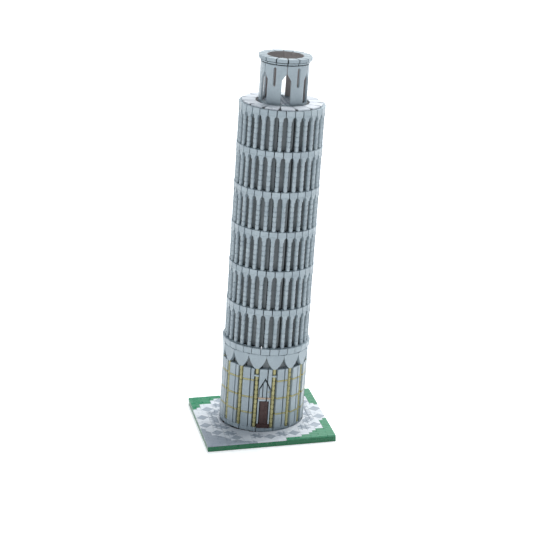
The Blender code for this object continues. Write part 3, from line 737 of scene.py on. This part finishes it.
def makeLeaf():
    # A stack of brown bricks beside a round hinge post, all turning on the pin
    edge = door["middle"] - door["half"] + door["gap"]
    radius = door["leafThick"] / 2
    low, high = door["foot"], door["top"]
    pile = Pile()
    joints = np.linspace(low, high, door["courses"] + 1)
    right = door["middle"] + door["half"] - door["gap"]
    halfWay = (edge + 2 * radius + right) / 2
    rows = [(left, end, door["gap"], door["gap"] + door["leafThick"], foot, top)
            for foot, top in zip(joints[:-1], joints[1:])
            for left, end in ((edge + radius, halfWay), (halfWay, right))]
    pile.add(onWall(boxes(rows, 0.00022), bayTurns[0], wall["face"], keystone=False), blockFaces)
    soft = 0.0003
    post = [(low - door["pinLong"], door["pin"]), (low, door["pin"]), (low + 0.00001, radius - soft),
            (low + soft, radius), (high - soft, radius), (high - 0.00001, radius - soft), (high, door["pin"]),
            (high + door["pinLong"], door["pin"])]
    points, tables = turnedBrick(post, 16)
    points = points + [edge + radius, door["gap"] + radius, 0]
    pile.add(onWall(points, bayTurns[0], wall["face"], keystone=False), tables)
    pile.put("doorLeaf", "brown", ["door_leaf"], body="door")


makeDoorWall()
makeGable()
makeLeaf()
print("door hung on", doorHinge["name"])


# Open galleries, and the blind arcade and cornice below them
gallery = {"face": 0.0810, "columnRadius": 0.00385, "neck": 0.0030, "neckHeight": 0.0014, "sides": 12,
           "bricks": 6, "bracketFoot": 6 * brick, "bracketTop": 7 * brick, "pierHalf": 0.0041,
           "spring": 0.0606, "apex": 0.0655, "archSteps": 6, "joint": 0.0009, "floorBack": 0.0104,
           "innerFace": 0.0694, "innerDepth": 0.0040, "slit": 0.0014,
           "drumSides": 60, "drumSink": 0.0046, "drumThick": 0.0020}
arcade = {"face": 0.0818, "depth": 0.0072, "tip": 0.0100, "apex": 0.1533, "bulge": 0.0019, "steps": 7,
          "roundTip": 0.0016, "bandFace": 0.0822, "blockFace": 0.0842, "back": 0.0724, "joint": 0.0006,
          "panelFace": 0.0732}


def spearhead():
    # One spandrel: straight at the top, two bulged sides down to a blunt, rounded tip. A side is its chord
    # plus an outward parabola 4 b s (1 - s) of height b
    half = halfSide(arcade["face"], tower["bays"], module["joint"])
    top, low, blunt = tower["bandFoot"] - 0.0003, tower["wallTop"] + 0.0002, arcade["tip"] / 2
    share = np.linspace(0, 1, arcade["steps"] + 1)[1:]
    start, end = np.array([blunt, low + arcade["roundTip"]]), np.array([half, arcade["apex"]])
    chord = end - start
    outward = np.array([chord[1], -chord[0]]) / np.linalg.norm(chord)
    swell = 4 * arcade["bulge"] * share * (1 - share)
    side = start + chord * share[:, None] + outward * swell[:, None]
    corner = start + np.array([[-arcade["roundTip"] * 0.9, -arcade["roundTip"]], [-0.0003, -0.0007], [0, 0]])
    right = np.concatenate([corner, side, [[half, top]]])
    return np.concatenate([right, right[::-1] * [-1, 1]])


def makeArcade():
    # The spears hang over the tan columns
    turns = bayTurns + math.degrees(math.atan(wall["columnPlace"] / wall["face"]))
    points, tables = slab(spearhead(), arcade["depth"])
    Pile().add(onWall(upright(points), turns, arcade["face"]), tables
               ).put("arcadeSpears", "white", ["arcade_spandrels"])


def makeArcadePanels():
    # The inner wall shows behind the spears: wide panels with open slits between them
    half = halfSide(arcade["panelFace"], tower["bays"], gallery["slit"])
    panel = block([-half, 0, tower["wallTop"] - 0.004], [half, 0.0012, tower["bandFoot"] - 0.0006])
    Pile().add(onWall(panel, slitTurns, arcade["panelFace"]), blockFaces
               ).put("arcadePanels", "darkGrey", ["ground_core"])


def makeCornice():
    # A band of flat stones and the taller blocks over it
    pile = Pile()
    for face, low, high in ((arcade["bandFace"], tower["bandFoot"], tower["bandFoot"] + plate),
                            (arcade["blockFace"], tower["bandFoot"] + plate, tower["corniceTop"])):
        half = halfSide(face, tower["arches"], arcade["joint"])
        stone = block([-half, 0, low + 0.00005], [half, face - arcade["back"], high - 0.00005])
        pile.add(onWall(stone, archTurns, face), blockFaces)
    pile.put("corniceBlocks", "white", ["cornice_ring"])


makeArcade()
makeArcadePanels()
makeCornice()
print("arcade and cornice built")


def bracket():
    # The arch brick over a column: level foot, plumb sides to the spring, then a quarter ellipse out to
    # the joint on either side
    half = halfSide(gallery["face"], tower["arches"], gallery["joint"])
    turn = np.linspace(0, math.pi / 2, gallery["archSteps"] + 1)
    along = half - (half - gallery["pierHalf"]) * np.cos(turn)
    up = gallery["spring"] + (gallery["apex"] - gallery["spring"]) * np.sin(turn)
    low, high = gallery["bracketFoot"] + 0.0001, gallery["bracketTop"] - 0.00005
    right = np.concatenate([[[gallery["pierHalf"], low]], np.stack([along, up], 1), [[half, high]]])
    return np.concatenate([right, right[::-1] * [-1, 1]])


def makeGallery(number):
    # Thirty columns of round bricks, their arch bricks and the course that carries the next floor
    rise = tower["corniceTop"] + number * tower["galleryHeight"]
    points, tables = roundBrick(brick, gallery["columnRadius"], gallery["neck"], gallery["neckHeight"],
                                gallery["sides"])
    columns = Pile()
    for course in range(gallery["bricks"]):
        placed = points + [0, stud / 2, course * brick]
        columns.add(onWall(placed, archTurns, gallery["face"], rise, keystone=False), tables)
    columns.put(f"galleryColumns_{number + 1}", "white", [f"gallery_{number + 1}"], smooth=42)
    arches = Pile()
    points, tables = slab(bracket(), stud - 0.0002)
    arches.add(onWall(upright(points), archTurns, gallery["face"], rise), tables)
    half = halfSide(gallery["face"], tower["arches"], gallery["joint"])
    stone = block([-half, 0, gallery["bracketTop"] + 0.00005],
                  [half, gallery["floorBack"], tower["galleryHeight"] - 0.00005])
    arches.add(onWall(stone, archTurns, gallery["face"], rise), blockFaces)
    arches.put(f"galleryArches_{number + 1}", "white", [f"gallery_{number + 1}"])


def makeInnerWall():
    # Dark panels behind the galleries, with open slits between them
    half = halfSide(gallery["innerFace"], tower["bays"], gallery["slit"])
    pile = Pile()
    for number in range(tower["galleries"]):
        rise = tower["corniceTop"] + number * tower["galleryHeight"]
        panel = block([-half, 0, 0.0004], [half, gallery["innerDepth"], gallery["bracketTop"] - 0.0003])
        pile.add(onWall(panel, slitTurns, gallery["innerFace"], rise), blockFaces)
    pile.put("innerPanels", "darkGrey", ["inner_wall"])
    # the drum behind the panels closes the slits; it is near-black, painted shade seen through them
    sides = 2 * np.pi * np.arange(gallery["drumSides"]) / gallery["drumSides"]
    drumFace = gallery["innerFace"] - gallery["drumSink"]
    low, high = tower["corniceTop"] + 0.0005, deckHeight - 0.0040
    drumBack = drumFace - gallery["drumThick"]
    rings = [leaning(np.stack([reach * np.sin(sides), -reach * np.cos(sides), level + 0 * sides], -1))
             for reach, level in ((drumFace, low), (drumFace, high), (drumBack, high), (drumBack, low))]
    corners = np.arange(len(sides))
    after = np.roll(corners, -1)
    rounds = [np.stack([start * len(sides) + corners, start * len(sides) + after,
                        end * len(sides) + after, end * len(sides) + corners], -1)
              for start, end in ((0, 1), (1, 2), (2, 3), (3, 0))]
    Pile().add(np.concatenate(rings), rounds).put("innerDrum", "shadow", ["inner_wall"], smooth=42)


for number in range(tower["galleries"]):
    makeGallery(number)
    print("gallery", number + 1, "built")
makeInnerWall()


# Deck
deck = {"outer": 0.0755, "inner": 0.0505, "notch": 0.0620, "notchSlope": 0.19, "joint": 0.0009,
        "discRadius": 0.0700, "floorRadius": 0.0385, "studRadius": 0.0024, "studHeight": 0.0017}


def knob():
    # One stud: plumb sides and a softened top edge
    radius, height = deck["studRadius"], deck["studHeight"]
    return turnedBrick([(0, radius), (height - 0.0002, radius), (height, radius - 0.0002)], 14)


def makeDeck():
    # Radial tiles with a notch in each outer corner
    tilt = math.tan(math.pi / tower["bays"])
    reach = np.array([deck["outer"], deck["notch"], deck["inner"]])
    notch = (deck["outer"] - deck["notch"]) * deck["notchSlope"]
    wide = reach * tilt - deck["joint"] - np.array([notch, 0, 0])
    side = np.stack([wide, deck["outer"] - reach], 1)
    outline = np.concatenate([side, side[::-1] * [-1, 1]])
    points, tables = slab(outline, plate - 0.0003)
    points = points * [1, 1, -1] + [0, 0, deckHeight + plate]
    Pile().add(onWall(points, slitTurns, deck["outer"], keystone=False), tables
               ).put("deckTiles", "litTileWhite", ["deck_tiles"])

    # a thin near-black sheet under the tiles' outer ends shows through the notches: painted shade
    profile = [(deckHeight + 0.0001, deck["outer"] - 0.0006), (deckHeight + 0.0012, deck["outer"] - 0.0006)]
    points, tables = turnedBrick(profile, 60)
    Pile().add(leaning(points), tables).put("deckUnderlay", "shadow", ["deck_disc"])
    # the disc under the tiles takes the same near-black: painted shade in the tile joints
    profile = [(deckHeight - plate + 0.0001, deck["discRadius"]), (deckHeight - 0.0003, deck["discRadius"]),
               (deckHeight, deck["discRadius"] - 0.0003)]
    points, tables = turnedBrick(profile, 60)
    Pile().add(leaning(points), tables).put("deckDisc", "shadow", ["deck_disc"], smooth=42)

    # pale one-stud plates with their studs on the floor inside the belfry
    line = np.arange(-4, 5)
    spots = np.stack(np.meshgrid(line, line), -1).reshape(-1, 2) * stud
    spots = spots[np.linalg.norm(spots, axis=1) + stud * 0.7 < deck["floorRadius"] + 0.002]
    half, joint = stud / 2, module["joint"]
    low = np.column_stack([spots - half + joint, np.full(len(spots), deckHeight + 0.0002)])
    high = np.column_stack([spots + half - joint, np.full(len(spots), deckHeight + plate)])
    pile = Pile().add(leaning(block(low, high)), blockFaces)
    points, tables = knob()
    lifted = points[None] + np.column_stack([spots, np.full(len(spots), deckHeight + plate)])[:, None]
    pile.add(leaning(lifted), tables).put("belfryFloor", "paleGrey", ["deck_disc"])


makeDeck()


# Belfry
belfry = {"panels": 6, "radius": 0.0453, "thick": 0.0040, "sillTop": plate, "sillRadius": 0.0457,
          "sillBack": 0.0412, "top": 24 * plate, "openingHalf": 11.5, "spring": 0.0490, "apex": 0.0620,
          "slotHalf": 0.0030, "slotFoot": 0.0365, "slotTop": 0.0728, "segments": 14, "outer": 0.0494,
          "well": 0.0336, "seatOuter": 0.0462, "seatHeight": 2 * plate, "lipHeight": 0.0017,
          "lipReach": 0.0030, "joint": 0.0010, "topJoint": 0.0013, "bevel": 0.0004,
          "sillStones": 24, "studTurn": 5.2, "studInset": 0.0027}


def panelGrid():
    # Angle columns and height rows of one panel about its own middle. The slot's rows bow by the square
    # root of r^2 - x^2 inside the slot; the wings' foot climbs straight from the spring to the apex
    limit = 180 / belfry["panels"] - 0.8
    pier = 180 / belfry["panels"] - belfry["openingHalf"]
    radius = belfry["radius"]
    slotAngle = math.degrees(belfry["slotHalf"] / radius)
    inner = np.degrees(np.arcsin(np.sin(np.linspace(0, math.pi / 2, 6)) * belfry["slotHalf"] / radius))
    inner[-1] = slotAngle
    middle = np.linspace(slotAngle, pier, 5)[1:]
    outer = np.linspace(pier, limit, 8)[1:]
    half = np.concatenate([inner, middle, outer])
    angles = np.concatenate([-half[::-1], half[1:]])
    across = np.radians(np.abs(angles)) * radius
    bow = np.sqrt(np.maximum(belfry["slotHalf"] ** 2 - across ** 2, 0))
    bow[np.abs(np.abs(angles) - slotAngle) < 1e-6] = 0
    wing = np.clip((np.abs(angles) - pier) / (limit - pier), 0, 1)
    climb = belfry["spring"] + (belfry["apex"] - belfry["spring"]) * wing
    slotHead = belfry["slotTop"] - belfry["slotHalf"] + bow
    rows = np.stack([0 * angles + belfry["sillTop"] + 0.0003,
                     belfry["slotFoot"] + belfry["slotHalf"] - bow,
                     climb,
                     np.maximum(slotHead, climb + 0.002 * (wing > 0)) + 0.0045 * wing,
                     0 * angles + belfry["top"]])
    centre = (np.abs(angles[:-1]) + np.abs(angles[1:])) / 2
    mask = np.ones((4, len(centre)), bool)
    mask[:2, centre > pier] = False
    mask[1:3, centre < slotAngle] = False
    return angles, rows, mask


def makeBelfry():
    # Six walls, each with a thin warm grey sheet behind it: painted shade on the walls' white insides
    turn = 360 / belfry["panels"]
    angles, rows, mask = panelGrid()
    back = belfry["radius"] - belfry["thick"]
    points, tables = piercedShell(angles, rows, mask, belfry["radius"], back)
    innerShade, sheet = Pile(), piercedShell(angles, rows, mask, back - 0.0001, back - 0.0005)
    for number in range(belfry["panels"]):
        spin = np.array(Matrix.Rotation(math.radians(tower["belfryTurn"] + turn * (number + 0.5)), 3, "Z"))
        placed = leaning(points @ spin.T + [0, 0, deckHeight])
        Pile().add(placed, tables).put(f"belfryPanel_{number + 1}", "white", [f"belfry_panel_{number + 1}"],
                                       body="belfry", smooth=35, bevel=belfry["bevel"])
        innerShade.add(leaning(sheet[0] @ spin.T + [0, 0, deckHeight]), sheet[1])
    walls = [f"belfry_panel_{number + 1}" for number in range(belfry["panels"])]
    innerShade.put("belfryInnerShade", "shadedInsideWhite", walls, body="belfry")

    sill = Pile()
    count = belfry["sillStones"]
    half = halfSide(belfry["sillRadius"], count, module["joint"])
    turns = tower["belfryTurn"] + 360 / count * np.arange(count)
    deep = belfry["sillRadius"] - belfry["sillBack"]
    ring = block([-half, 0, 0.00034], [half, deep, belfry["sillTop"] - 0.00004])
    sill.add(onWall(ring, turns, belfry["sillRadius"], deckHeight), blockFaces)
    points, tables = knob()
    for offset in (-belfry["studTurn"], belfry["studTurn"]):
        placed = points + [0, belfry["studInset"], belfry["sillTop"]]
        seats = tower["belfryTurn"] + turn * np.arange(belfry["panels"]) + offset
        sill.add(onWall(placed, seats, belfry["sillRadius"], deckHeight, keystone=False), tables)
    sill.put("belfrySill", "white", ["belfry_sill"], body="belfry")

    crown = Pile()
    turns = tower["belfryTurn"] + 360 / belfry["segments"] * (np.arange(belfry["segments"]) + 0.5)
    # two rings from the panels up: the seat with a lip under and over it, darkened with painted shade, and
    # the wide top ring
    foot, lip = belfry["top"] + 0.0003, belfry["lipHeight"]
    seat, top = belfry["top"] + belfry["seatHeight"], belfry["top"] + 4 * plate
    for reach, low, high, joint in ((belfry["seatOuter"], foot + lip, seat - lip, belfry["joint"]),
                                    (belfry["outer"], seat, top, belfry["topJoint"])):
        half = halfSide(reach, belfry["segments"], joint)
        stone = block([-half, 0, low], [half, reach - belfry["well"] - 0.0006, high], 0.0003)
        crown.add(onWall(stone, turns, reach, deckHeight), blockFaces)
    # near-black rings fill the lips and stand behind the upright joints, painted shade under the overhangs
    # and in the joints; a warm grey sheet closes the well, painted shade on its white inside
    tilt = math.tan(math.pi / belfry["segments"])
    gaps = Pile()
    for reach, low, high in ((belfry["seatOuter"] - belfry["lipReach"], foot, seat),
                             (belfry["outer"] - belfry["lipReach"], seat, top - 0.0010)):
        stone = block([-reach * tilt, 0, low], [reach * tilt, 0.0040, high], 0.0001)
        gaps.add(onWall(stone, turns, reach, deckHeight), blockFaces)
    gaps.put("crownGaps", "shadow", ["belfry_cornice"], body="belfry")
    inner = belfry["well"] + 0.0006
    wellShade = block([-inner * tilt, 0, foot], [inner * tilt, 0.0006, top - 0.0006], 0.0001)
    Pile().add(onWall(wellShade, turns, inner, deckHeight), blockFaces
               ).put("crownWellShade", "shadedInsideWhite", ["belfry_cornice"], body="belfry")
    crown.put("belfryCrown", "white", ["belfry_cornice"], body="belfry")


makeBelfry()
print("deck and belfry built")


# Floor, light and camera
studio = {"floorGlow": 0.42, "floorColour": srgb(246, 247, 248), "floorHalf": 14.0,
          "worldColour": (0.72, 0.84, 1.0, 1), "world": 0.24,
          "keyPower": 3.6, "keyFrom": (0.52, 0.62, 1.15), "keySoft": 55,
          "rimPower": 7.0, "rimPlace": (1.35, 2.6, 1.1), "rimSize": (1.6, 1.6),
          "overPower": 16.0, "overPlace": (-0.9, -1.0, 2.4), "overSize": (2.4, 2.4)}
shot = {"lens": 126.84, "place": (-0.6168, -3.3590, 1.4260), "azimuth": -10.661, "elevation": 17.933,
        "roll": -0.552}


def makeStudio():
    # The floor's paint glows a little, so that it stays pale under the soft light
    finish = Finish("paleFloor", {"Roughness": 0.75, "Specular IOR Level": 0.2,
                                  "Emission Color": (1, 1, 1, 1), "Emission Strength": studio["floorGlow"]})
    veil = finish.spread(finish.noise(1.2, 3.0), 0.35, 0.65)
    finish.feed(finish.shader.inputs["Base Color"],
                finish.mixed(studio["floorColour"], srgb(238, 239, 240), veil))
    half = studio["floorHalf"]
    line = np.linspace(-half, half, 3)
    grid = np.stack(np.meshgrid(line, line), -1).reshape(-1, 2)
    points = np.column_stack([grid, np.full(len(grid), -0.0002)])
    faces = [[0, 1, 4, 3], [1, 2, 5, 4], [3, 4, 7, 6], [4, 5, 8, 7]]
    mesh = bpy.data.meshes.new("studioFloor")
    mesh.from_pydata(points.tolist(), [], faces)
    mesh.materials.append(finish.material)
    floor = bpy.data.objects.new("studioFloor", mesh)
    bpy.context.scene.collection.objects.link(floor)

    world = bpy.data.worlds.new("studioWorld")
    world.use_nodes = True
    background = world.node_tree.nodes["Background"]
    background.inputs["Color"].default_value = studio["worldColour"]
    background.inputs["Strength"].default_value = studio["world"]
    bpy.context.scene.world = world

    key = bpy.data.lights.new("keyLight", "SUN")
    key.energy = studio["keyPower"]
    key.angle = math.radians(studio["keySoft"])
    addLight(key, studio["keyFrom"], Vector((0, 0, 0)))
    for name, prefix, target in (("overheadBox", "over", (-0.15, -0.2, 0)), ("rimBox", "rim", (0, 0, 0.35))):
        box = bpy.data.lights.new(name, "AREA")
        box.shape = "RECTANGLE"
        box.size, box.size_y = studio[prefix + "Size"]
        box.energy = studio[prefix + "Power"]
        addLight(box, studio[prefix + "Place"], Vector(target))


def addLight(light, place, target):
    # A lamp at a place, its back axis turned away from the target
    lamp = bpy.data.objects.new(light.name, light)
    lamp.location = place
    lamp.rotation_euler = (Vector(place) - target).to_track_quat("Z", "Y").to_euler()
    bpy.context.scene.collection.objects.link(lamp)


def makeCamera():
    # Back direction from azimuth and elevation, then a roll about it
    around, above, roll = (math.radians(shot[name]) for name in ("azimuth", "elevation", "roll"))
    back = Vector((math.sin(around) * math.cos(above), -math.cos(around) * math.cos(above), math.sin(above)))
    right = Vector((math.cos(around), math.sin(around), 0))
    up = back.cross(right)
    lens = bpy.data.cameras.new("mainCamera")
    lens.lens = shot["lens"]
    lens.clip_start, lens.clip_end = 0.05, 60
    camera = bpy.data.objects.new("mainCamera", lens)
    columns = (math.cos(roll) * right + math.sin(roll) * up,
               -math.sin(roll) * right + math.cos(roll) * up, back)
    camera.matrix_world = Matrix.Translation(shot["place"]) @ Matrix(columns).transposed().to_4x4()
    bpy.context.scene.collection.objects.link(camera)
    bpy.context.scene.camera = camera


makeStudio()
makeCamera()
bpy.context.scene.view_settings.view_transform = "Standard"
print("studio ready")
